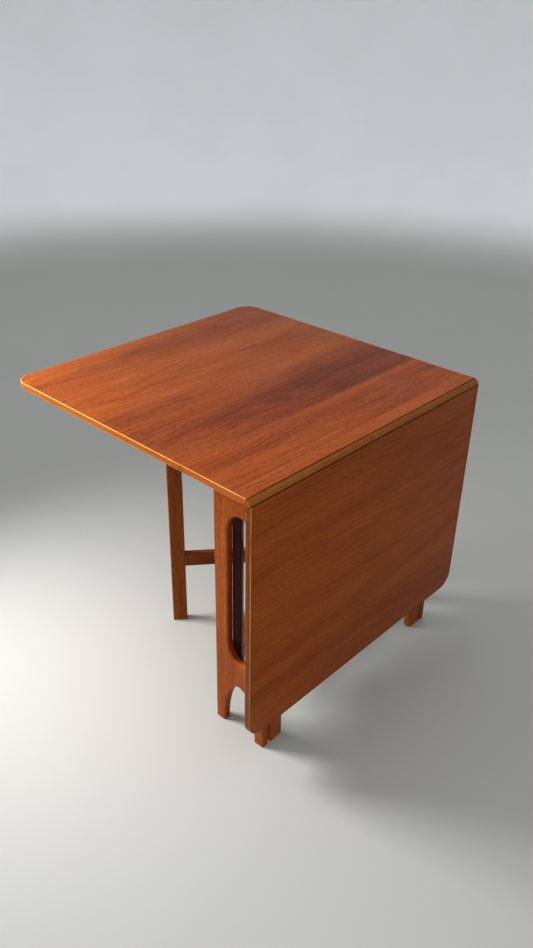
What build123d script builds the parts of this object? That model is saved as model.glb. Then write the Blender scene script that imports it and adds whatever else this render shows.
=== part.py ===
from build123d import *
import os
from math import asin, cos, degrees, radians, sin, sqrt

# Drop leaf table with rule joints and four swinging gates. Millimetres, +Z up.
# X runs across the table and Y runs along the hinge lines. Everything is drawn about the centre line of
# the base, then moved along X so that the origin is on the floor under the middle of the table as set up.
# At rest the left leaf (-X) is up on its two open gates and the right leaf (+X) hangs down.

# Top
TOP_HEIGHT = 735.0
TOP_LENGTH = 820.0
TOP_THICK = 16.0
CENTRE_HALF = 90.0            # centre line to a hinge axis
LEAF_REACH = 620.0            # hinge axis to a leaf's outer edge
LEAF_CORNER = 42.0
LIPPING = 4.0
ARRIS = 1.8

# Rule joint
AXIS_DEPTH = 14.0             # hinge axis below the top surface
OVOLO = 12.0
JOINT_GAP = 0.5
OVOLO_STRIP = 14.0            # strip width inside the hinge axis
COVE_STRIP = 32.0             # strip width outside the hinge axis

# End frames
FRAME_HALF = 78.5
FRAME_INSET = 72.0            # end of the top to the frame's outer face
FRAME_THICK = 19.0
FRAME_EDGE = 3.5
ARCH_HALF = 50.0
ARCH_HEIGHT = 139.0
SLOT_HALF = 37.0
SLOT_LOW = 211.0
SLOT_HIGH = 616.0
SLOT_END = 50.0               # height of the slot's elliptical ends
SLOT_EDGE = 5.5

# Rails between the end frames
BOARD_HALF = 55.0
BOARD_LOW = 132.0
BOARD_HIGH = 144.0
CROSS_RAIL_THICK = 19.0
CROSS_RAIL_WIDTH = 39.0
LONG_RAIL_IN = 14.0
LONG_RAIL_OUT = 32.0
LONG_RAIL_DEEP = 59.0
DOWEL_R = 4.0
DOWEL_IN_FRAME = 14.0
DOWEL_IN_RAIL = 16.0
DOWEL_X = 30.0
LONG_DOWEL_IN_CROSS = 14.0

# Gates
PIVOT_X = 45.0
PIVOT_Y = 296.0
GATE_REACH = 588.0            # pivot axis to the outer post's centre
FOLDED_X = 68.0               # centre of a folded outer post
FAR_OPEN = 39.9               # degrees from Y, the gate that pivots at the far end
NEAR_OPEN = 36.0              # degrees from Y, the gate that pivots at the near end
POST_THICK = 21.0
OUTER_POST = 40.0
PIVOT_POST = 34.0
POST_EDGE = 3.0
FOOT_EDGE = 2.5
POST_GAP = 0.5                # outer post to the underside of the leaf
PIVOT_LOW = 145.0
PIVOT_HIGH = 698.0
RAIL_THICK = 20.0
RAIL_TALL = 40.0
RAIL_EDGE = 3.0
FAR_RAILS = (188.0, 656.0)    # undersides of the stretcher and top rail
NEAR_RAILS = (146.0, 614.0)
TENON_THICK = 9.0
TENON_TALL = 30.0
OUTER_TENON = 22.0
PIVOT_TENON = 11.0
PIN_R = 4.0
PIN_RUNNING = 0.05
PIN_IN_POST = 24.0
PIN_END_GAP = 1.0             # room past a pin's end in its post
PIN_END_COVER = 2.0           # wood left over a pin's other end

# Rule joint hinges
HINGE_Y = (-225.0, 0.0, 225.0)
HINGE_LONG = 50.0
PLATE_THICK = 1.5
PLATE_START = 4.6
TOP_PLATE = 34.0
LEAF_PLATE = 62.0
KNUCKLE_R = 3.0
KNUCKLE_GUTTER = 3.7
GUTTER_END = 0.4
GUTTER_BEYOND = 1.0           # the gutter runs this far past the ovolo
PLATE_TO_KNUCKLE = 1.2        # where a plate meets its knuckle
PLATE_LAP = 1.0               # the leaf plate's tongue laps under its plate
KNUCKLE_MIDDLE = 17.0
KNUCKLE_GAP = 0.3
HINGE_PIN_R = 1.25

# Screws and stop blocks
SCREW_R = 1.75
SCREW_HEAD_R = 3.5
SCREW_HEAD = 1.4
SCREW_LONG = 12.0
SCREW_FROM_END = 8.0          # plate screws from the hinge's ends
LEAF_SCREWS = (COVE_STRIP + 8.0, LEAF_PLATE - 7.0)
TOP_SCREWS = (-OVOLO_STRIP - 5.0, -TOP_PLATE + 6.0)
STOP_LONG = 46.0
STOP_WIDE = 20.0
STOP_THICK = 8.0
STOP_GAP = 0.8
STOP_CORNER = 2.5
STOP_SCREW_LONG = 18.0
TOP_SCREW_R = 2.25
TOP_SCREW_HEAD_R = 4.5
TOP_SCREW_HEAD = 2.5
TOP_SCREW_LONG = 29.0
TOP_SCREW_AT = (13.0, 306.0)

# Worked out from the above
UNDERSIDE = TOP_HEIGHT - TOP_THICK
AXIS_Z = TOP_HEIGHT - AXIS_DEPTH
BELOW_AXIS = TOP_THICK - AXIS_DEPTH
HALF_LENGTH = TOP_LENGTH / 2
FRAME_OUT = HALF_LENGTH - FRAME_INSET
FRAME_IN = FRAME_OUT - FRAME_THICK
CROSS_RAIL_IN = FRAME_IN - CROSS_RAIL_WIDTH
CROSS_RAIL_LOW = UNDERSIDE - CROSS_RAIL_THICK
COVE = OVOLO + JOINT_GAP
FOLDED = degrees(asin((FOLDED_X - PIVOT_X) / GATE_REACH))
TO_ORIGIN = (LEAF_REACH - AXIS_DEPTH) / 2
ARCH_OR_SLOT = (ARCH_HEIGHT + SLOT_LOW) / 2
NEAR_ZERO = 0.01
PAST = 1.0                    # how far a cut runs past what it cuts

os.makedirs("parts", exist_ok=True)


def save(name, shape):
    """Write one node's STEP, in the table's own frame."""
    export_step(Pos(TO_ORIGIN, 0, 0) * shape, f"parts/{name}.step")


def block(x, y, z):
    """A box from its three (low, high) pairs."""
    box = Box(x[1] - x[0], y[1] - y[0], z[1] - z[0])
    return Pos((x[0] + x[1]) / 2, (y[0] + y[1]) / 2, (z[0] + z[1]) / 2) * box


def rod(radius, start, end):
    """A round bar between two points."""
    run = Vector(*end) - Vector(*start)
    return extrude(Plane(start, z_dir=run) * Circle(radius), run.length)


def group(solids):
    """Separate solids as one node."""
    return Compound(children=list(solids))


def screw(radius, head_r, head, long):
    """A countersunk screw whose head is flush with Z = 0 and whose shank runs up +Z."""
    cone = Pos(0, 0, head / 2) * Cone(head_r, radius, head)
    return cone + rod(radius, (0, 0, head), (0, 0, long))


def hinge_screws(offsets):
    """The plate screws of all the hinges, driven up from the underside, in the joint's own frame."""
    one = screw(SCREW_R, SCREW_HEAD_R, SCREW_HEAD, SCREW_LONG)
    across = HINGE_LONG / 2 - SCREW_FROM_END
    spots = [(x, y + side) for y in HINGE_Y for x in offsets for side in (-across, across)]
    return [Pos(x, y, -BELOW_AXIS) * one for x, y in spots]


# Rule joint frame: origin on the hinge axis, +X away from the centre of the table, leaf raised.

def right_edge_profile():
    """Section of the centre top's solid edge, with the ovolo."""
    return make_face(
        Polyline((OVOLO, 0), (OVOLO, -BELOW_AXIS), (-OVOLO_STRIP, -BELOW_AXIS),
                 (-OVOLO_STRIP, AXIS_DEPTH), (0, AXIS_DEPTH), (0, OVOLO))
        + CenterArc((0, 0), OVOLO, 0, 90)
    )


def along_y(face):
    """A section in X and Z, drawn as X and Y, run along the whole top."""
    section = Plane(origin=(0, HALF_LENGTH, 0), x_dir=(1, 0, 0), z_dir=(0, -1, 0)) * face
    return extrude(section, TOP_LENGTH)


def leaf_blank():
    """The whole leaf, raised, before it is split into its pieces."""
    outline = Pos(LEAF_REACH / 2, 0) * Rectangle(LEAF_REACH, TOP_LENGTH)
    outline = fillet(outline.vertices().sort_by(Axis.X)[-2:], LEAF_CORNER)
    blank = extrude(Pos(0, 0, -BELOW_AXIS) * outline, TOP_THICK)
    rims = blank.edges().filter_by(lambda e: abs(e.center().Z - AXIS_DEPTH) < NEAR_ZERO
                                   or abs(e.center().Z + BELOW_AXIS) < NEAR_ZERO)
    rims = rims.filter_by(lambda e: e.center().X > PAST)
    blank = fillet(rims, ARRIS)
    start = sqrt(COVE ** 2 - JOINT_GAP ** 2)
    blank -= rod(COVE, (0, -TOP_LENGTH, 0), (0, TOP_LENGTH, 0))
    blank -= block((-PAST, COVE), (-TOP_LENGTH, TOP_LENGTH), (-TOP_THICK, 0))
    return blank - block((-PAST, JOINT_GAP), (-TOP_LENGTH, TOP_LENGTH), (start - PAST, TOP_THICK))


def inner_outline(reach, corner):
    """The veneered panel's region inside the lipping, as a tall prism from the cove strip out."""
    region = Pos((COVE_STRIP + reach) / 2, 0) * Rectangle(reach - COVE_STRIP, TOP_LENGTH - 2 * LIPPING)
    region = fillet(region.vertices().sort_by(Axis.X)[-2:], corner)
    return extrude(Pos(0, 0, -TOP_THICK) * region, 3 * TOP_THICK)


def hinge_parts():
    """Top plates, leaf plates and pins of one leaf's hinges, in the joint frame with the leaf raised."""
    top_plates, leaf_plates, pins = [], [], []
    half, middle = HINGE_LONG / 2, KNUCKLE_MIDDLE / 2
    plate = (-BELOW_AXIS, -BELOW_AXIS + PLATE_THICK)
    for y in HINGE_Y:
        top = block((-TOP_PLATE, -PLATE_TO_KNUCKLE), (y - half, y + half), plate)
        top -= block((-PLATE_START, 0), (y - middle - KNUCKLE_GAP, y + middle + KNUCKLE_GAP),
                     (-OVOLO, OVOLO))
        leaf = block((PLATE_START, LEAF_PLATE), (y - half, y + half), plate)
        leaf += block((PLATE_TO_KNUCKLE, PLATE_START + PLATE_LAP), (y - middle, y + middle), plate)
        for low, high in ((-half, -middle - KNUCKLE_GAP), (middle + KNUCKLE_GAP, half)):
            top += rod(KNUCKLE_R, (0, y + low, 0), (0, y + high, 0))
        leaf += rod(KNUCKLE_R, (0, y - middle, 0), (0, y + middle, 0))
        top_plates.append(top - rod(HINGE_PIN_R, (0, y - half, 0), (0, y + half, 0)))
        leaf_plates.append(leaf - rod(HINGE_PIN_R + PIN_RUNNING, (0, y - half, 0), (0, y + half, 0)))
        pins.append(rod(HINGE_PIN_R, (0, y - half, 0), (0, y + half, 0)))
    return top_plates, leaf_plates, pins


def hinge_gutter():
    """Room under the centre top for the knuckles and for the leaf's plates to swing."""
    cuts = []
    half = HINGE_LONG / 2
    for y in HINGE_Y:
        span = (y - half - GUTTER_END, y + half + GUTTER_END)
        cuts.append(block((-KNUCKLE_GUTTER, KNUCKLE_GUTTER), span, (-TOP_THICK, KNUCKLE_GUTTER)))
        cuts.append(block((0, OVOLO + GUTTER_BEYOND), span, (-TOP_THICK, GUTTER_END)))
    return cuts


def stop_places(far_side):
    """Where each stop block goes beside an open gate's outer post: outwards, along and turn, in the
    joint frame. far_side is the sign of that frame's Y at the table's far end."""
    side = POST_THICK / 2 + STOP_GAP + STOP_WIDE / 2
    places = []
    for pivot_end, angle in ((far_side, FAR_OPEN), (-far_side, NEAR_OPEN)):
        out = PIVOT_X + GATE_REACH * sin(radians(angle)) + side * cos(radians(angle)) - CENTRE_HALF
        back = GATE_REACH * cos(radians(angle)) - side * sin(radians(angle))
        places.append((out, pivot_end * (PIVOT_Y - back), pivot_end * (angle - 90)))
    return places


def stop_parts(far_side):
    """The two stop blocks and their screws, under the raised leaf in the joint frame."""
    blocks, screws = [], []
    one = screw(SCREW_R, SCREW_HEAD_R, SCREW_HEAD, STOP_SCREW_LONG)
    for out, along, turn in stop_places(far_side):
        seat = Pos(out, along, -BELOW_AXIS - STOP_THICK) * Rot(0, 0, turn)
        body = fillet((Pos(0, 0, STOP_THICK / 2) * Box(STOP_LONG, STOP_WIDE, STOP_THICK)).edges()
                      .filter_by(Axis.Z), STOP_CORNER)
        pair = [Pos(side * STOP_LONG / 4, 0, 0) * one for side in (-1, 1)]
        blocks.append(seat * (body - pair))
        screws += [seat * s for s in pair]
    return blocks, screws


def leaf_parts(far_side):
    """Every piece that moves with a leaf, raised, in the joint frame, by name."""
    _, plates, _ = hinge_parts()
    blocks, block_screws = stop_parts(far_side)
    screws = hinge_screws(LEAF_SCREWS)
    room = [block((0, LEAF_PLATE), (y - HINGE_LONG / 2, y + HINGE_LONG / 2),
                  (-BELOW_AXIS - PAST, -BELOW_AXIS + PLATE_THICK)) for y in HINGE_Y]
    blank = leaf_blank()
    inner = inner_outline(LEAF_REACH - LIPPING, LEAF_CORNER - LIPPING)
    strip = blank & block((0, COVE_STRIP), (-HALF_LENGTH, HALF_LENGTH), (-TOP_THICK, TOP_THICK))
    rest = blank - block((-PAST, COVE_STRIP), (-TOP_LENGTH, TOP_LENGTH), (-TOP_THICK, 2 * TOP_THICK))
    return {
        "panel": (rest & inner) - room - screws - block_screws,
        "cove_strip": strip - room,
        "lipping": rest - inner,
        "stop_blocks": group(blocks),
        "stop_screws": group(block_screws),
        "hinge_leaf_plates": group([p - screws for p in plates]),
        "hinge_leaf_screws": group(screws),
    }


def centre_parts():
    """The centre top's pieces on the right of the centre line, in the joint frame, by name."""
    tops, _, pins = hinge_parts()
    screws = hinge_screws(TOP_SCREWS)
    strip = along_y(right_edge_profile())
    ends = strip.edges().filter_by(lambda e: abs(abs(e.center().Y) - HALF_LENGTH) < NEAR_ZERO
                                   and (abs(e.center().Z - AXIS_DEPTH) < NEAR_ZERO
                                        or abs(e.center().Z + BELOW_AXIS) < NEAR_ZERO))
    strip = fillet(ends, ARRIS)
    room = [block((-TOP_PLATE, 0), (y - HINGE_LONG / 2, y + HINGE_LONG / 2),
                  (-BELOW_AXIS - PAST, -BELOW_AXIS + PLATE_THICK)) for y in HINGE_Y]
    for cut in room + hinge_gutter():
        strip -= cut
    return {
        "ovolo_strip": strip,
        "hinge_top_plates": group([p - screws for p in tops]),
        "hinge_pins": group(pins),
        "hinge_top_screws": group(screws),
    }, room + screws


def end_frame():
    """The near end frame, with its arch between the feet and its long slot."""
    face = Pos(0, UNDERSIDE / 2) * Rectangle(2 * FRAME_HALF, UNDERSIDE)
    face -= Ellipse(ARCH_HALF, ARCH_HEIGHT)
    middle = (SLOT_LOW + SLOT_HIGH) / 2
    straight = SLOT_HIGH - SLOT_LOW - 2 * SLOT_END
    slot = Pos(0, middle) * Rectangle(2 * SLOT_HALF, straight)
    for end in (-1, 1):
        slot += Pos(0, middle + end * straight / 2) * Ellipse(SLOT_HALF, SLOT_END)
    face -= slot
    board = extrude(Plane(origin=(0, -FRAME_IN, 0), x_dir=(1, 0, 0), z_dir=(0, -1, 0)) * face, FRAME_THICK)
    mid_y = -(FRAME_IN + FRAME_OUT) / 2

    def on_face(e):
        return abs(e.center().Y - mid_y) > FRAME_THICK / 2 - NEAR_ZERO

    def in_hole(e):
        box = e.bounding_box()
        return max(abs(box.min.X), abs(box.max.X)) < FRAME_HALF - PAST and box.max.Z > PAST

    rims = board.edges().filter_by(on_face)
    slot_rims = rims.filter_by(lambda e: in_hole(e) and e.bounding_box().min.Z > ARCH_OR_SLOT)
    board = fillet(slot_rims, SLOT_EDGE)
    arch_rims = board.edges().filter_by(lambda e: on_face(e) and in_hole(e)
                                        and e.bounding_box().max.Z < ARCH_OR_SLOT)
    board = fillet(arch_rims, FRAME_EDGE)
    sides = board.edges().filter_by(Axis.Z).filter_by(lambda e: abs(e.center().X) > FRAME_HALF - NEAR_ZERO)
    return fillet(sides, FRAME_EDGE)


def dowels(y_sign):
    """Dowels at one end: board and cross rail into the end frame, long rails into the cross rail."""
    pins = []
    for x in (-DOWEL_X, DOWEL_X):
        for z in ((BOARD_LOW + BOARD_HIGH) / 2, CROSS_RAIL_LOW + CROSS_RAIL_THICK / 2):
            pins.append(rod(DOWEL_R, (x, y_sign * (FRAME_IN - DOWEL_IN_RAIL), z),
                            (x, y_sign * (FRAME_IN + DOWEL_IN_FRAME), z)))
    for x in (-(LONG_RAIL_IN + LONG_RAIL_OUT) / 2, (LONG_RAIL_IN + LONG_RAIL_OUT) / 2):
        z = CROSS_RAIL_LOW + CROSS_RAIL_THICK / 2
        pins.append(rod(DOWEL_R, (x, y_sign * (CROSS_RAIL_IN - DOWEL_IN_RAIL), z),
                        (x, y_sign * (CROSS_RAIL_IN + LONG_DOWEL_IN_CROSS), z)))
    return pins


def pivot_pins(low, high):
    """Four pins on the gates' pivot axes."""
    return [rod(PIN_R, (x, y, low), (x, y, high)) for x in (-PIVOT_X, PIVOT_X) for y in (-PIVOT_Y, PIVOT_Y)]


# Gate frame: pivot axis on Z, gate in the XZ plane, running out along +X.

def post(x, low, high, wide, foot):
    """An upright post with eased edges."""
    body = block((x - wide / 2, x + wide / 2), (-POST_THICK / 2, POST_THICK / 2), (low, high))
    body = fillet(body.edges().filter_by(Axis.Z), POST_EDGE)
    if foot:
        body = fillet(body.faces().sort_by(Axis.Z)[0].edges(), FOOT_EDGE)
    return body


def gate_rail(low):
    """A stretcher or top rail with its tenons, and the tenons alone."""
    start, end = PIVOT_POST / 2, GATE_REACH - OUTER_POST / 2
    bar = block((start, end), (-RAIL_THICK / 2, RAIL_THICK / 2), (low, low + RAIL_TALL))
    bar = fillet(bar.edges().filter_by(Axis.X), RAIL_EDGE)
    middle = low + RAIL_TALL / 2
    tenons = block((start - PIVOT_TENON, end + OUTER_TENON), (-TENON_THICK / 2, TENON_THICK / 2),
                   (middle - TENON_TALL / 2, middle + TENON_TALL / 2))
    return bar + tenons, tenons


def gate(rails):
    """The four pieces of one gate, by name."""
    stretcher, low_tenons = gate_rail(rails[0])
    top_rail, high_tenons = gate_rail(rails[1])
    mortises = [low_tenons, high_tenons]
    bore_r, bore_deep = PIN_R + PIN_RUNNING, PIN_IN_POST + PIN_END_GAP
    bores = [rod(bore_r, (0, 0, PIVOT_LOW - PAST), (0, 0, PIVOT_LOW + bore_deep)),
             rod(bore_r, (0, 0, PIVOT_HIGH - bore_deep), (0, 0, PIVOT_HIGH + PAST))]
    return {
        "pivot_post": post(0, PIVOT_LOW, PIVOT_HIGH, PIVOT_POST, False) - mortises - bores,
        "outer_post": post(GATE_REACH, 0, UNDERSIDE - POST_GAP, OUTER_POST, True) - mortises,
        "stretcher": stretcher,
        "top_rail": top_rail,
    }


# Leaves: the left one raised, the right one turned down a quarter turn about its hinge axis.
left_place = Pos(-CENTRE_HALF, 0, AXIS_Z) * Rot(0, 0, 180)
right_place = Pos(CENTRE_HALF, 0, AXIS_Z)
hanging = right_place * Rot(0, 90, 0)
for side, place, far_side in (("left", left_place, -1), ("right", hanging, 1)):
    for name, shape in leaf_parts(far_side).items():
        save(f"{side}_{name}" if name.startswith("hinge") else f"{side}_leaf_{name}", place * shape)

# Centre top
edge, edge_room = centre_parts()
for side, place in (("left", left_place), ("right", right_place)):
    for name, shape in edge.items():
        save(f"{side}_{name}", place * shape)

top_half = CENTRE_HALF - OVOLO_STRIP
top_blank = Pos(0, 0, UNDERSIDE + TOP_THICK / 2) * Box(2 * top_half, TOP_LENGTH, TOP_THICK)
top_blank = fillet(top_blank.edges().filter_by(Axis.X), ARRIS)
top_screw = screw(TOP_SCREW_R, TOP_SCREW_HEAD_R, TOP_SCREW_HEAD, TOP_SCREW_LONG)
top_screws = [Pos(x, y, CROSS_RAIL_LOW) * top_screw
              for x in (-TOP_SCREW_AT[0], TOP_SCREW_AT[0]) for y in (-TOP_SCREW_AT[1], TOP_SCREW_AT[1])]
panel_end = HALF_LENGTH - LIPPING
panel_room = block((-top_half, top_half), (-panel_end, panel_end), (UNDERSIDE - PAST, TOP_HEIGHT + PAST))
hinge_room = [place * cut for place in (left_place, right_place) for cut in edge_room]
save("centre_panel", (top_blank & panel_room) - hinge_room - top_screws)
lippings = (top_blank - panel_room).solids().sort_by(Axis.Y)
save("near_end_lipping", lippings[0])
save("far_end_lipping", lippings[-1])
save("top_screws", group(top_screws))

# End frames, rails and dowels
all_dowels = dowels(-1) + dowels(1)
upper_pins = pivot_pins(PIVOT_HIGH - PIN_IN_POST, UNDERSIDE - PIN_END_COVER)
lower_pins = pivot_pins(BOARD_LOW + PIN_END_COVER, PIVOT_LOW + PIN_IN_POST)
near_frame = end_frame()
save("near_end_frame", near_frame - all_dowels)
save("far_end_frame", Rot(0, 0, 180) * near_frame - all_dowels)
board = block((-BOARD_HALF, BOARD_HALF), (-FRAME_IN, FRAME_IN), (BOARD_LOW, BOARD_HIGH))
save("lower_board", board - all_dowels - lower_pins)
for name, low, high in (("near", -FRAME_IN, -CROSS_RAIL_IN), ("far", CROSS_RAIL_IN, FRAME_IN)):
    rail = block((-BOARD_HALF, BOARD_HALF), (low, high), (CROSS_RAIL_LOW, UNDERSIDE))
    save(f"{name}_cross_rail", rail - all_dowels - upper_pins - top_screws)
for name, low, high in (("left", -LONG_RAIL_OUT, -LONG_RAIL_IN), ("right", LONG_RAIL_IN, LONG_RAIL_OUT)):
    rail = block((low, high), (-CROSS_RAIL_IN, CROSS_RAIL_IN), (UNDERSIDE - LONG_RAIL_DEEP, UNDERSIDE))
    save(f"{name}_long_rail", rail - all_dowels)
save("frame_dowels", group(all_dowels))
save("upper_pivot_pins", group(upper_pins))
save("lower_pivot_pins", group(lower_pins))

# Gates: each is turned from +X to its own heading, in degrees anticlockwise from +X.
far_gate, near_gate = gate(FAR_RAILS), gate(NEAR_RAILS)
headings = {
    ("left", "far"): -90 - FAR_OPEN,
    ("left", "near"): 90 + NEAR_OPEN,
    ("right", "far"): -90 + FOLDED,
    ("right", "near"): 90 - FOLDED,
}
for (side, end), heading in headings.items():
    pivot = Pos(-PIVOT_X if side == "left" else PIVOT_X, PIVOT_Y if end == "far" else -PIVOT_Y, 0)
    for name, shape in (far_gate if end == "far" else near_gate).items():
        save(f"{side}_{end}_gate_{name}", pivot * Rot(0, 0, heading) * shape)
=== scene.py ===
from math import cos, pi, radians, sin

import bpy
from mathutils import Matrix, Vector


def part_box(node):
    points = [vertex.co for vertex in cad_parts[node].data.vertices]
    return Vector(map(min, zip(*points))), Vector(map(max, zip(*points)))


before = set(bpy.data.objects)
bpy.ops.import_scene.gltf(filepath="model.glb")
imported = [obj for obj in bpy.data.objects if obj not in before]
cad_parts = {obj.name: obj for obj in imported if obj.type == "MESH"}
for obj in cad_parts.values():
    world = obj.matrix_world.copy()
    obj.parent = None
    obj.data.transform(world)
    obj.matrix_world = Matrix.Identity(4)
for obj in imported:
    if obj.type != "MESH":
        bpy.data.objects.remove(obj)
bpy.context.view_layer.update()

# Places, in metres, in the table's frame
END_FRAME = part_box("near_end_frame")
BASE_X = (END_FRAME[0].x + END_FRAME[1].x) / 2  # centre line of the base
TOP_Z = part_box("centre_panel")[1].z
AXIS_X = 0.09                                   # hinge axes from the centre line of the base
AXIS_DEPTH = 0.014                              # hinge axes below the top surface
LEFT_AXIS = (BASE_X - AXIS_X, 0, TOP_Z - AXIS_DEPTH)
RIGHT_AXIS = (BASE_X + AXIS_X, 0, TOP_Z - AXIS_DEPTH)

# Directions in a piece
ACROSS = (1, 0, 0)
LENGTHWISE = (0, 1, 0)
UP = (0, 0, 1)

# Grain frames: rotations that lay a board's length on local Y and its width on local X
ORIGIN = (0, 0, 0)
ALONG_Y = (0, 0, 0)
ALONG_Z = (radians(-90), 0, 0)
ALONG_X = (0, 0, radians(90))
LEFT_TURN = (0, 0, radians(180))                # the raised leaf, outwards from its hinge axis
RIGHT_TURN = (0, radians(90), 0)                # the hanging leaf, downwards from its hinge axis


# ---------------------------------------------------------------- node helpers

class Graph:
    """A material's node tree, with short calls for the nodes that the woods need."""

    def __init__(self, name):
        self.material = bpy.data.materials.new(name)
        self.material.use_nodes = True
        self.tree = self.material.node_tree
        self.shader = self.tree.nodes["Principled BSDF"]

    def node(self, kind, **settings):
        made = self.tree.nodes.new(kind)
        for key, value in settings.items():
            setattr(made, key, value)
        return made

    def link(self, value, socket):
        """Feed a socket from another socket, or set it to a constant."""
        if isinstance(value, bpy.types.NodeSocket):
            self.tree.links.new(value, socket)
        else:
            socket.default_value = value

    def math(self, operation, a, b=0.0, clamp=False):
        made = self.node("ShaderNodeMath", operation=operation, use_clamp=clamp)
        self.link(a, made.inputs[0])
        self.link(b, made.inputs[1])
        return made.outputs[0]

    def product(self, first, *others):
        for other in others:
            first = self.math("MULTIPLY", first, other)
        return first

    def total(self, first, *others):
        for other in others:
            first = self.math("ADD", first, other)
        return first

    def inverse(self, value):
        return self.math("SUBTRACT", 1.0, value)

    def offset(self, value, size):
        """A value from 0 to 1 as an offset about zero, size from end to end."""
        return self.product(self.math("SUBTRACT", value, 0.5), size)

    def scaled(self, vector, factors):
        made = self.node("ShaderNodeVectorMath", operation="MULTIPLY")
        self.link(vector, made.inputs[0])
        made.inputs[1].default_value = factors
        return made.outputs[0]

    def noise(self, vector, detail=3.0, roughness=0.55, scale=1.0):
        made = self.node("ShaderNodeTexNoise")
        self.link(vector, made.inputs["Vector"])
        made.inputs["Scale"].default_value = scale
        made.inputs["Detail"].default_value = detail
        made.inputs["Roughness"].default_value = roughness
        return made.outputs["Fac"]

    def step(self, value, low, high, to_low=0.0, to_high=1.0):
        """Smooth change from to_low to to_high as value goes from low to high."""
        made = self.node("ShaderNodeMapRange", interpolation_type="SMOOTHSTEP")
        self.link(value, made.inputs["Value"])
        ends = {"From Min": low, "From Max": high, "To Min": to_low, "To Max": to_high}
        for key, number in ends.items():
            self.link(number, made.inputs[key])
        return made.outputs["Result"]

    def mix(self, factor, a, b, blend="MIX"):
        made = self.node("ShaderNodeMix", data_type="RGBA", blend_type=blend)
        self.link(factor, made.inputs["Factor"])
        for value, socket in ((a, made.inputs[6]), (b, made.inputs[7])):
            self.link((*value, 1.0) if isinstance(value, tuple) else value, socket)
        return made.outputs[2]

    def ramp(self, value, stops):
        made = self.node("ShaderNodeValToRGB")
        self.link(value, made.inputs["Fac"])
        points = made.color_ramp.elements
        while len(points) < len(stops):
            points.new(0.5)
        for point, (place, colour) in zip(points, stops):
            point.position = place
            point.color = (*colour, 1.0)
        return made.outputs["Color"]

    def combine(self, x, y, z):
        made = self.node("ShaderNodeCombineXYZ")
        for value, socket in zip((x, y, z), made.inputs):
            self.link(value, socket)
        return made.outputs[0]

    def split(self, vector):
        made = self.node("ShaderNodeSeparateXYZ")
        self.link(vector, made.inputs[0])
        return made.outputs

    def coordinates(self):
        return self.node("ShaderNodeTexCoord").outputs["Object"]

    def placed(self, origin, turn):
        """Object coordinates seen from a board's own frame."""
        made = self.node("ShaderNodeMapping", vector_type="TEXTURE")
        self.link(self.coordinates(), made.inputs["Vector"])
        made.inputs["Location"].default_value = origin
        made.inputs["Rotation"].default_value = turn
        return made.outputs["Vector"]

    def facing(self, direction):
        """How squarely the surface faces a direction fixed in the piece, either way."""
        normal = self.node("ShaderNodeTexCoord").outputs["Normal"]
        made = self.node("ShaderNodeVectorMath", operation="DOT_PRODUCT")
        self.link(normal, made.inputs[0])
        made.inputs[1].default_value = direction
        return self.math("ABSOLUTE", made.outputs["Value"])

    def arris(self, axis):
        """1 halfway round an arris between faces along and across an axis of the piece, 0 on both."""
        along = self.facing(axis)
        square = self.product(along, along)
        halfway = self.product(square, self.inverse(square))
        return self.math("MULTIPLY", halfway, 4.0, clamp=True)

    def worn_edges(self, radius=0.0022):
        """1 on sharp arrises, 0 on flat faces."""
        bevel = self.node("ShaderNodeBevel", samples=4)
        bevel.inputs["Radius"].default_value = radius
        flat = self.node("ShaderNodeNewGeometry").outputs["Normal"]
        dot = self.node("ShaderNodeVectorMath", operation="DOT_PRODUCT")
        self.link(bevel.outputs[0], dot.inputs[0])
        self.link(flat, dot.inputs[1])
        return self.step(self.inverse(dot.outputs["Value"]), 0.02, 0.25)

    def relief(self, height, strength, distance):
        bump = self.node("ShaderNodeBump")
        bump.inputs["Strength"].default_value = strength
        bump.inputs["Distance"].default_value = distance
        self.link(height, bump.inputs["Height"])
        self.link(bump.outputs[0], self.shader.inputs["Normal"])


# ---------------------------------------------------------------- wood

# Layers of grain: repeats per metre over a board's width, length and depth, detail, roughness, weight
GRAIN_LAYERS = (((15, 1.2, 15), 3.0, 0.55, 0.56),       # broad light and dark
                ((75, 3.4, 75), 4.0, 0.62, 0.32),       # streaks
                ((240, 16, 240), 2.0, 0.60, 0.34),      # lines
                ((360, 70, 360), 4.0, 0.75, 0.85))      # flecks
RING_STRETCH = (1.0, 0.085, 0.4)                        # draws growth rings out along the board
RING_SETTINGS = {"Scale": 24.0, "Distortion": 3.4, "Detail": 3.0, "Detail Scale": 1.2}
PORE_REPEATS = (900, 70, 900)

# Lacquer, wear, painted highlight and painted shade
PORE_SHADE = (0.42, 0.32, 0.28)                         # darkens the wood in a pore
PORE_WEIGHT = 0.40
SPECULAR = 0.08
COAT = 0.05
COAT_ROUGHNESS = 0.22
GRAIN_RELIEF = 0.0004
BARE = (0.62, 0.30, 0.11)                               # wood where an arris is worn
PAINTED_HIGHLIGHT = (0.85, 0.47, 0.12)                             # painted highlight: lipping made pale along its rounded arrises, standing in for the light they catch
# painted shade: dark colour along the rule joint's gap and seams
JOINT_SHADE_COLOUR = (0.02, 0.006, 0.002)

# Veneer
PLANK = 0.155                                           # width of one strip
FIRST_PLANK = 0.012                                     # the centre's strips start outside its left hinge axis
CENTRE_ORIGIN = (BASE_X - AXIS_X - FIRST_PLANK, 0, TOP_Z)
VENEER_SWAY = 0.075
VENEER_RINGS = 0.07
DARK_BAND = 0.17                                        # depth of the heartwood band in the raised leaf
BAND_START = (0.0, 0.006)                               # out from the hinge axis
BAND_FADE = (0.09, 0.19)                                # out from the hinge axis
BAND_DRIFT = 0.16
BAND_NEAR_FADE = (0.12, 0.42)                           # along the hinge axis, towards the near end
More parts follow.
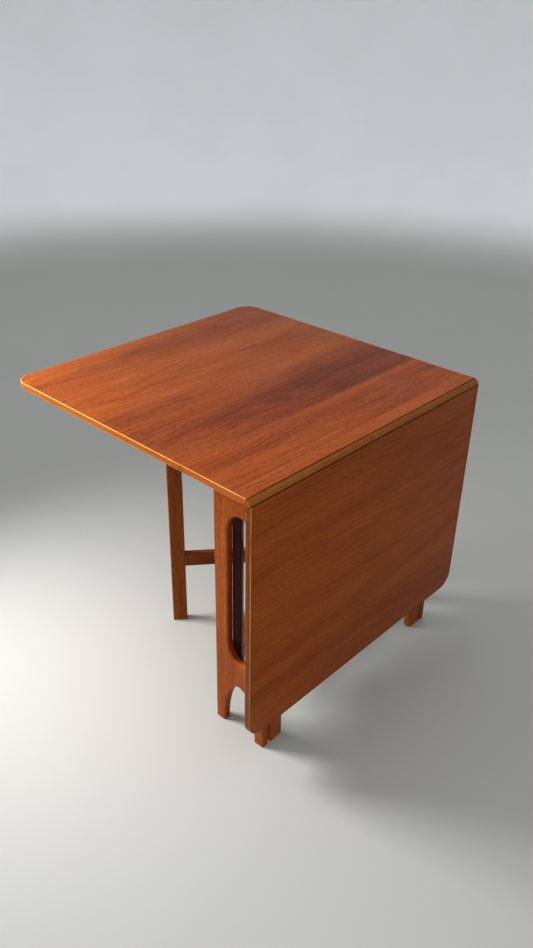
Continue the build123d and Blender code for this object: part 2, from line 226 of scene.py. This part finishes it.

# Painted shade in the rule joint, as distances over which it fades
JOINT_RADIUS = 0.01225                                  # middle of the gap, from the hinge axis
GAP_SHADE = (0.0005, 0.0016)                             # either side of the gap, on the strips' ends
SEAM_SHADE = (0.0004, 0.0013)                            # either side of the planes through the axis
SEAM_REACH = (0.015, 0.016)                             # out from the axis

# Colours of the woods, from dark to light
REDDISH = ((0.22, (0.108, 0.015, 0.0015)), (0.42, (0.215, 0.039, 0.0030)),
           (0.58, (0.295, 0.063, 0.0060)), (0.82, (0.410, 0.108, 0.0160)))
CENTRE_GAIN = (1.14, 1.09, 1.07)                        # the centre's colours are the leaf's, made lighter by these factors
CENTRE = tuple((place, tuple(c * gain for c, gain in zip(colour, CENTRE_GAIN)))
               for place, colour in REDDISH)
# BROWN on the hanging leaf's veneer and cove strip is painted shade, in place of REDDISH; it is also the
# rails' and stop blocks' wood
BROWN = ((0.22, (0.145, 0.022, 0.0012)), (0.45, (0.225, 0.043, 0.0024)),
         (0.60, (0.272, 0.057, 0.0042)), (0.82, (0.350, 0.086, 0.0095)))
ORANGE = ((0.22, (0.112, 0.018, 0.0009)), (0.45, (0.184, 0.036, 0.0018)),
          (0.60, (0.234, 0.050, 0.0038)), (0.82, (0.315, 0.079, 0.0095)))
EDGE = ((0.22, (0.180, 0.030, 0.0010)), (0.45, (0.280, 0.056, 0.0020)),
        (0.60, (0.340, 0.074, 0.0040)), (0.82, (0.430, 0.110, 0.0100)))
GOLDEN = ((0.22, (0.125, 0.034, 0.0040)), (0.45, (0.205, 0.058, 0.0070)),
          (0.60, (0.260, 0.078, 0.0100)), (0.82, (0.340, 0.112, 0.0180)))
POST = ((0.22, (0.115, 0.020, 0.0010)), (0.45, (0.200, 0.045, 0.0028)),
        (0.60, (0.255, 0.062, 0.0050)), (0.82, (0.340, 0.095, 0.0120)))
# painted shade: a darker copy of the posts' wood, about two thirds as bright, on the gates' bars, the hanging
# leaf's lipping and its cove strip's ends
SHADED_BAR = ((0.22, (0.075, 0.012, 0.0008)), (0.45, (0.135, 0.026, 0.0018)),
       (0.60, (0.175, 0.037, 0.0032)), (0.82, (0.240, 0.060, 0.0080)))
# painted shade: the pivot posts' wood, about a sixth as bright as POST, coloured as if in deep shade
SHADED = ((0.22, (0.018, 0.003, 0.0006)), (0.45, (0.036, 0.006, 0.0012)),
          (0.60, (0.052, 0.010, 0.0020)), (0.82, (0.085, 0.019, 0.0040)))
BEECH = ((0.18, (0.40, 0.27, 0.15)), (0.85, (0.62, 0.46, 0.29)))


def grain(g, board, sway, rings, seed):
    """Tone of a board from 0, dark, to 1, light, and its pores, in the board's frame. The grain sways
    by up to that many metres, and rings is the weight of its arched growth rings."""
    x, y, z = g.split(board)
    drift = g.noise(g.combine(g.product(x, 2.5), g.product(y, 1.6), seed), 2.0)
    swayed = g.combine(g.total(x, g.offset(drift, sway)), y, g.total(z, seed))
    parts = [g.offset(g.noise(g.scaled(swayed, repeats), detail, roughness), weight)
             for repeats, detail, roughness, weight in GRAIN_LAYERS]
    wave = g.node("ShaderNodeTexWave", wave_type="RINGS", rings_direction="Z", wave_profile="SIN")
    g.link(g.scaled(swayed, RING_STRETCH), wave.inputs["Vector"])
    for key, number in RING_SETTINGS.items():
        wave.inputs[key].default_value = number
    tone = g.total(*parts, g.offset(wave.outputs["Fac"], rings), 0.5)
    pores = g.step(g.noise(g.scaled(swayed, PORE_REPEATS), 1.0, 0.5), 0.58, 0.70)
    return tone, pores


def finish_wood(g, colour, tone, pores, gloss, edge_wear_and_highlight=None, edge_wear_and_highlight_colour=BARE, coat=COAT):
    """Lacquer, pores, pale arrises and relief on a graph whose colour and edge masks are worked out. The pale
    arrises are wear on solid boards and a painted highlight on lippings and the strips' ends.
    """
    colour = g.mix(g.product(pores, PORE_WEIGHT), colour, PORE_SHADE, "MULTIPLY")
    # pale arrises: wear on solid boards, a painted highlight on lippings and the strips' ends
    if edge_wear_and_highlight is not None:
        colour = g.mix(edge_wear_and_highlight, colour, edge_wear_and_highlight_colour)
    g.link(colour, g.shader.inputs["Base Color"])
    handling = g.noise(g.coordinates(), 4.0, 0.6, 7.0)
    rough = g.total(g.step(handling, 0.3, 0.7, gloss - 0.05, gloss + 0.06), g.product(pores, 0.10))
    g.link(rough, g.shader.inputs["Roughness"])
    g.shader.inputs["Specular IOR Level"].default_value = SPECULAR
    g.shader.inputs["Coat Weight"].default_value = coat
    g.shader.inputs["Coat Roughness"].default_value = COAT_ROUGHNESS
    g.relief(g.math("SUBTRACT", tone, g.product(pores, 0.8)), 0.20, GRAIN_RELIEF)
    return g.material


def veneer_colour(g, origin, turn, tones, seed, dark_band):
    """Veneer laid in strips side by side, with an optional band of heartwood in the first strip."""
    x, y, z = g.split(g.placed(origin, turn))
    strip = g.math("FLOOR", g.math("DIVIDE", x, PLANK))
    chance = g.node("ShaderNodeTexWhiteNoise", noise_dimensions="1D")
    g.link(g.total(strip, seed), chance.inputs["W"])
    shift = chance.outputs["Value"]
    middle = g.math("SUBTRACT", x, g.product(g.total(strip, 0.5), PLANK))
    board = g.combine(g.total(middle, g.offset(shift, 0.05)),
                      g.total(y, g.product(shift, 0.7)),
                      g.total(z, g.product(strip, 3.7)))
    tone, pores = grain(g, board, VENEER_SWAY, VENEER_RINGS, seed)
    tone = g.total(tone, g.offset(shift, 0.10))
    if dark_band:
        drift = g.noise(g.combine(g.product(x, 5), g.product(y, 2.4), seed), 3.0, 0.6)
        place = g.total(x, g.offset(drift, BAND_DRIFT))
        band = g.product(g.step(x, *BAND_START), g.step(place, *BAND_FADE, 1.0, 0.0))
        along = g.step(y, *BAND_NEAR_FADE, 1.0, 0.25)
        tone = g.math("SUBTRACT", tone, g.product(band, along, dark_band))
    return g.ramp(tone, tones), tone, pores


def veneer(name, origin, turn, tones, seed, dark_band=0.0):
    g = Graph(name)
    colour, tone, pores = veneer_colour(g, origin, turn, tones, seed, dark_band)
    return finish_wood(g, colour, tone, pores, 0.36)


def solid_wood(name, origin, turn, tones, seed, sway=0.04, rings=0.06, gloss=0.36, across=None, edge_wear_and_highlight_weight=0.4):
    """Solid board; across is the axis through its faces where its arrises are rounded."""
    g = Graph(name)
    tone, pores = grain(g, g.placed(origin, turn), sway, rings, seed)
    edge = g.arris(across) if across else g.worn_edges()
    return finish_wood(g, g.ramp(tone, tones), tone, pores, gloss, g.product(edge, edge_wear_and_highlight_weight))


def lipping_wood(name, thickness, tones, seed, edge_wear_and_highlight_weight, coat):
    """Solid lipping whose grain runs along each side of the board, with a painted highlight: pale patches
    along its rounded arrises.
    """
    g = Graph(name)
    board = g.placed(ORIGIN, ALONG_Y)
    side_tone, side_pores = grain(g, board, 0.02, 0.05, seed)
    end_turn = ALONG_X if thickness[2] else ALONG_Z
    end_tone, end_pores = grain(g, g.placed(ORIGIN, end_turn), 0.02, 0.05, seed + 1)
    on_end = g.step(g.facing(LENGTHWISE), 0.5, 0.8)
    on_side = g.inverse(on_end)
    tone = g.total(g.product(end_tone, on_end), g.product(side_tone, on_side))
    pores = g.math("MAXIMUM", g.product(end_pores, on_end), g.product(side_pores, on_side))
    # painted highlight: pale colour in patches along the rounded arrises, where they would catch the light
    patches = g.step(g.noise(board, 3.0, 0.6, 9.0), 0.3, 0.6, edge_wear_and_highlight_weight / 2, edge_wear_and_highlight_weight)
    highlight_mask = g.product(g.arris(thickness), patches)
    return finish_wood(g, g.ramp(tone, tones), tone, pores, 0.30, highlight_mask, PAINTED_HIGHLIGHT, coat)


def joint_shade(g, axis, quarter, on_flat, on_end):
    """Painted shade along the rule joint's curve on the strips' ends, in one quarter round the hinge axis, and
    in the two seams along it, standing in for the shadow in the narrow gap."""
    x, y, z = g.split(g.placed(axis, ALONG_Y))
    from_axis = g.math("SQRT", g.total(g.product(x, x), g.product(z, z)))
    off_gap = g.math("ABSOLUTE", g.math("SUBTRACT", from_axis, JOINT_RADIUS))
    gap = g.step(off_gap, *GAP_SHADE, 0.9, 0.0)
    for side, sign in zip((x, z), quarter):
        gap = g.product(gap, g.step(g.product(side, sign), 0.0, 0.0005))
    off_seam = g.math("MINIMUM", g.math("ABSOLUTE", x), g.math("ABSOLUTE", z))
    seams = g.product(g.step(off_seam, *SEAM_SHADE, 0.85, 0.0), g.step(from_axis, *SEAM_REACH, 1.0, 0.0),
                      g.inverse(on_flat))
    return g.math("MAXIMUM", g.product(gap, on_end), seams)


def moulding_wood(name, origin, turn, face, axis, quarter, tones, seed, dark_band, end_tones):
    """A solid moulded strip whose flat face carries the veneer of the board beside it."""
    g = Graph(name)
    skin, skin_tone, skin_pores = veneer_colour(g, origin, turn, tones, seed, dark_band)
    tone, _ = grain(g, g.placed(ORIGIN, ALONG_Y), 0.02, 0.05, seed + 5)
    on_flat = g.step(g.facing(face), 0.985, 0.999)
    on_end = g.step(g.facing(LENGTHWISE), 0.6, 0.9)
    colour = g.mix(on_flat, g.mix(on_end, g.ramp(tone, GOLDEN), g.ramp(tone, end_tones)), skin)
    # painted shade along the rule joint's gap and seams
    colour = g.mix(joint_shade(g, axis, quarter, on_flat, on_end), colour, JOINT_SHADE_COLOUR)
    # painted highlight: pale colour along the arrises of the strips' ends
    highlight_mask = g.product(g.arris(LENGTHWISE), 0.6)
    return finish_wood(g, colour, skin_tone, skin_pores, 0.34, highlight_mask, PAINTED_HIGHLIGHT)


def metal(name, colour, gloss, scale):
    """Plated steel with fine scratches and dull patches."""
    g = Graph(name)
    board = g.placed(ORIGIN, ALONG_Y)
    scratches = g.noise(g.scaled(board, (900, 60, 900)), 3.0, 0.7)
    tarnish = g.step(g.noise(board, 4.0, 0.6, scale), 0.45, 0.75)
    dull = tuple(0.45 * c for c in colour)
    g.link(g.mix(g.product(tarnish, 0.5), colour, dull), g.shader.inputs["Base Color"])
    g.shader.inputs["Metallic"].default_value = 1.0
    rough = g.total(g.step(scratches, 0.3, 0.7, gloss - 0.05, gloss + 0.08), g.product(tarnish, 0.15))
    g.link(rough, g.shader.inputs["Roughness"])
    g.relief(scratches, 0.12, 0.0002)
    return g.material


# ---------------------------------------------------------------- the table's materials

def give(nodes, material):
    """Put one material on CAD nodes."""
    for node in nodes:
        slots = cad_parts[node].data.materials
        slots.clear()
        slots.append(material)


def dress_top():
    """Veneered panels, moulded strips of the rule joints, and lippings."""
    give(["centre_panel"], veneer("veneer_centre", CENTRE_ORIGIN, ALONG_Y, CENTRE, 4.0))
    give(["left_leaf_panel"], veneer("veneer_left", LEFT_AXIS, LEFT_TURN, REDDISH, 11.0, DARK_BAND))
    # painted shade: the hanging leaf's veneer is browner and flatter than the raised leaf's
    give(["right_leaf_panel"], veneer("veneer_right", RIGHT_AXIS, RIGHT_TURN, BROWN, 23.0))
    strips = {
        "left_ovolo_strip": (CENTRE_ORIGIN, ALONG_Y, UP, LEFT_AXIS, (-1, 1), CENTRE, 4.0, 0.0, EDGE),
        "right_ovolo_strip": (CENTRE_ORIGIN, ALONG_Y, UP, RIGHT_AXIS, (1, 1), CENTRE, 4.0, 0.0, EDGE),
        "left_leaf_cove_strip": (LEFT_AXIS, LEFT_TURN, UP, LEFT_AXIS, (-1, 1), REDDISH, 11.0, DARK_BAND,
                                 EDGE),
        # painted shade: the hanging leaf's cove strip has the same browner veneer and darker ends
        "right_leaf_cove_strip": (RIGHT_AXIS, RIGHT_TURN, ACROSS, RIGHT_AXIS, (1, -1), BROWN, 23.0, 0.0,
                                  SHADED_BAR)}
    for node, settings in strips.items():
        give([node], moulding_wood("moulding_" + node, *settings))
    # the lippings carry a painted highlight along their arrises
    give(["near_end_lipping", "far_end_lipping", "left_leaf_lipping"],
         lipping_wood("lipping_flat", UP, EDGE, 31.0, edge_wear_and_highlight_weight=0.95, coat=0.35))
    # painted shade: the hanging leaf's lipping is coloured darker than the raised leaf's
    give(["right_leaf_lipping"],
         lipping_wood("lipping_hanging", ACROSS, SHADED_BAR, 37.0, edge_wear_and_highlight_weight=0.75, coat=0.05))


def dress_base():
    """End frames, rails, stop blocks and dowels."""
    for node, seed in (("near_end_frame", 41.0), ("far_end_frame", 47.0)):
        heart = (BASE_X + 0.03, 0, 0.4)
        give([node], solid_wood("wood_" + node, heart, ALONG_Z, ORANGE, seed, 0.05, 0.08,
                                across=LENGTHWISE, edge_wear_and_highlight_weight=0.06))
    give(["left_long_rail", "right_long_rail", "lower_board"],
         solid_wood("wood_rails", ORIGIN, ALONG_Y, BROWN, 71.0, gloss=0.46))
    give(["near_cross_rail", "far_cross_rail"],
         solid_wood("wood_cross_rails", ORIGIN, ALONG_X, BROWN, 73.0, gloss=0.46))
    give(["left_leaf_stop_blocks", "right_leaf_stop_blocks"],
         solid_wood("wood_stop_blocks", ORIGIN, ALONG_Y, BROWN, 77.0, gloss=0.44))
    give(["frame_dowels"], solid_wood("wood_dowels", ORIGIN, ALONG_Y, BEECH, 79.0, gloss=0.6))


def gate_turn(side, end):
    """Heading of a gate from its pivot to its outer post, as a rotation that lays it on local Y."""
    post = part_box(f"{side}_{end}_gate_outer_post")
    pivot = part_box(f"{side}_{end}_gate_pivot_post")
    run = (post[0] + post[1] - pivot[0] - pivot[1]) / 2
    return (0, 0, Vector((run.x, run.y)).angle_signed(Vector((0, 1))))


def dress_gates():
    """Each post is its own board, and a gate's two bars share one."""
    seed = 51.0
    for side in ("left", "right"):
        for end in ("far", "near"):
            seed += 3.0
            name = f"{side}_{end}_gate_"
            pivot = tuple(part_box(name + "pivot_post")[0])
            # painted shade: the pivot posts get far darker colours than the outer posts
            for post, tones in ((name + "pivot_post", SHADED), (name + "outer_post", POST)):
                seed += 1.0
                corner = tuple(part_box(post)[0])
                give([post], solid_wood("wood_" + post, corner, ALONG_Z, tones, seed))
            # painted shade: the gates' bars are coloured about two thirds as bright as the outer posts
            give([name + "stretcher", name + "top_rail"],
                 solid_wood(name + "bars", pivot, gate_turn(side, end), SHADED_BAR, seed + 1))


def dress_metal():
    """Hinges, screws and pivot pins."""
    give([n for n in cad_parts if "hinge" in n and "screws" not in n],
         metal("hinge_plating", (0.60, 0.44, 0.20), 0.34, 60.0))
    give([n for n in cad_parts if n.endswith("screws")],
         metal("screw_plating", (0.62, 0.50, 0.28), 0.3, 90.0))
    give(["upper_pivot_pins", "lower_pivot_pins"], metal("pin_steel", (0.58, 0.56, 0.53), 0.28, 50.0))


dress_top()
dress_base()
dress_gates()
dress_metal()


# ---------------------------------------------------------------- stage, light and camera

FLOOR_PAINT = (0.37, 0.37, 0.35)
WALL_PAINT = (0.92, 0.925, 0.93)
CLOUD_PAINT = (0.30, 0.30, 0.29)
STAGE_RADIUS = 5.0
STAGE_BEND = 1.5
STAGE_HEIGHT = 5.2
STAGE_AROUND = 96
STAGE_RINGS = 12
AIR_COLOUR = (0.80, 0.82, 0.84, 1)
AIR_STRENGTH = 1.05

CAMERA_FROM_BASE = Vector((1.0173, -1.3544, 1.5520))
CAMERA_YAW = radians(42.83)
CAMERA_DOWN = radians(29.92)
CAMERA_ROLL = radians(1.06)
CAMERA_LENS = 31.35
CAMERA_SENSOR = 36.0


def studio_paint():
    """Matt paint with faint cloudiness, deeper on the floor than on the wall."""
    g = Graph("studio_paint")
    place = g.coordinates()
    height = g.step(g.split(place)[2], 0.0, 0.3)
    clouds = g.step(g.noise(place, 4.0, 0.55, 1.3), 0.35, 0.65, 0.06, 0.0)
    paint = g.mix(clouds, g.mix(height, FLOOR_PAINT, WALL_PAINT), CLOUD_PAINT)
    g.link(paint, g.shader.inputs["Base Color"])
    g.shader.inputs["Roughness"].default_value = 0.6
    return g.material


def stage_profile():
    """Distance from the middle and height of each ring: flat floor, quarter bend, upright wall."""
    flat = STAGE_RADIUS - STAGE_BEND
    rings = [STAGE_RADIUS * k / STAGE_RINGS for k in range(1, STAGE_RINGS)]
    profile = [(ring, 0.0) for ring in rings if ring < flat] + [(flat, 0.0)]
    for k in range(1, STAGE_RINGS + 1):
        turn = pi / 2 * k / STAGE_RINGS
        profile.append((flat + STAGE_BEND * sin(turn), STAGE_BEND - STAGE_BEND * cos(turn)))
    return profile + [(STAGE_RADIUS, STAGE_HEIGHT)]


def stage():
    """A pale round floor that curves up into a wall, wide enough for a camera anywhere round the table."""
    profile = stage_profile()
    around = STAGE_AROUND
    turns = [2 * pi * k / around for k in range(around)]
    points = [(0, 0, 0)] + [(r * cos(a), r * sin(a), z) for r, z in profile for a in turns]
    faces = [(0, 1 + k, 1 + (k + 1) % around) for k in range(around)]
    for ring in range(len(profile) - 1):
        low, high = 1 + ring * around, 1 + (ring + 1) * around
        for k in range(around):
            after = (k + 1) % around
            faces.append((low + k, high + k, high + after, low + after))
    mesh = bpy.data.meshes.new("studio")
    mesh.from_pydata(points, [], faces)
    for face in mesh.polygons:
        face.use_smooth = True
    studio = bpy.data.objects.new("studio", mesh)
    bpy.context.scene.collection.objects.link(studio)
    mesh.materials.append(studio_paint())


def area_light(name, place, target, size, watts, tint, spread=180, glossy=True):
    """A rectangular light; one that isn't glossy leaves no highlight on the lacquer."""
    light = bpy.data.lights.new(name, "AREA")
    light.shape = "RECTANGLE"
    light.size, light.size_y = size
    light.energy = watts
    light.color = tint
    light.spread = radians(spread)
    lamp = bpy.data.objects.new(name, light)
    lamp.location = place
    lamp.rotation_euler = (Vector(target) - Vector(place)).to_track_quat("-Z", "Y").to_euler()
    lamp.visible_camera = False
    lamp.visible_glossy = glossy
    bpy.context.scene.collection.objects.link(lamp)


def lights():
    """A low key at the near left corner, and soft light from above, from the near right and all round."""
    area_light("key", place=(-1.0, -0.96, 1.06), target=(-0.40, -0.72, 0.62), size=(0.6, 0.6),
               watts=19.3, tint=(1.0, 0.985, 0.96), spread=100, glossy=False)
    area_light("overhead", place=(0.1, 0.1, 3.4), target=(0, 0, 0), size=(3.2, 3.2),
               watts=4, tint=(0.98, 0.99, 1.0))
    area_light("fill", place=(1.6, -1.9, 1.2), target=(0.4, -0.5, 0.45), size=(1.0, 1.0),
               watts=10, tint=(1.0, 0.99, 0.97))
    world = bpy.data.worlds.new("studio_air")
    world.use_nodes = True
    air = world.node_tree.nodes["Background"].inputs
    air["Color"].default_value = AIR_COLOUR
    air["Strength"].default_value = AIR_STRENGTH
    bpy.context.scene.world = world


def camera():
    data = bpy.data.cameras.new("camera")
    data.lens = CAMERA_LENS
    data.sensor_width = CAMERA_SENSOR
    eye = bpy.data.objects.new("camera", data)
    level = cos(CAMERA_DOWN)
    ahead = Vector((-sin(CAMERA_YAW) * level, cos(CAMERA_YAW) * level, -sin(CAMERA_DOWN)))
    right = Vector((cos(CAMERA_YAW), sin(CAMERA_YAW), 0))
    up = right.cross(ahead)
    tilted = right * cos(CAMERA_ROLL) + up * sin(CAMERA_ROLL)
    upright = up * cos(CAMERA_ROLL) - right * sin(CAMERA_ROLL)
    turn = Matrix((tilted, upright, -ahead)).transposed().to_4x4()
    eye.matrix_world = Matrix.Translation(Vector((BASE_X, 0, 0)) + CAMERA_FROM_BASE) @ turn
    bpy.context.scene.collection.objects.link(eye)
    bpy.context.scene.camera = eye


camera()
stage()
lights()
bpy.context.scene.view_settings.view_transform = "Standard"
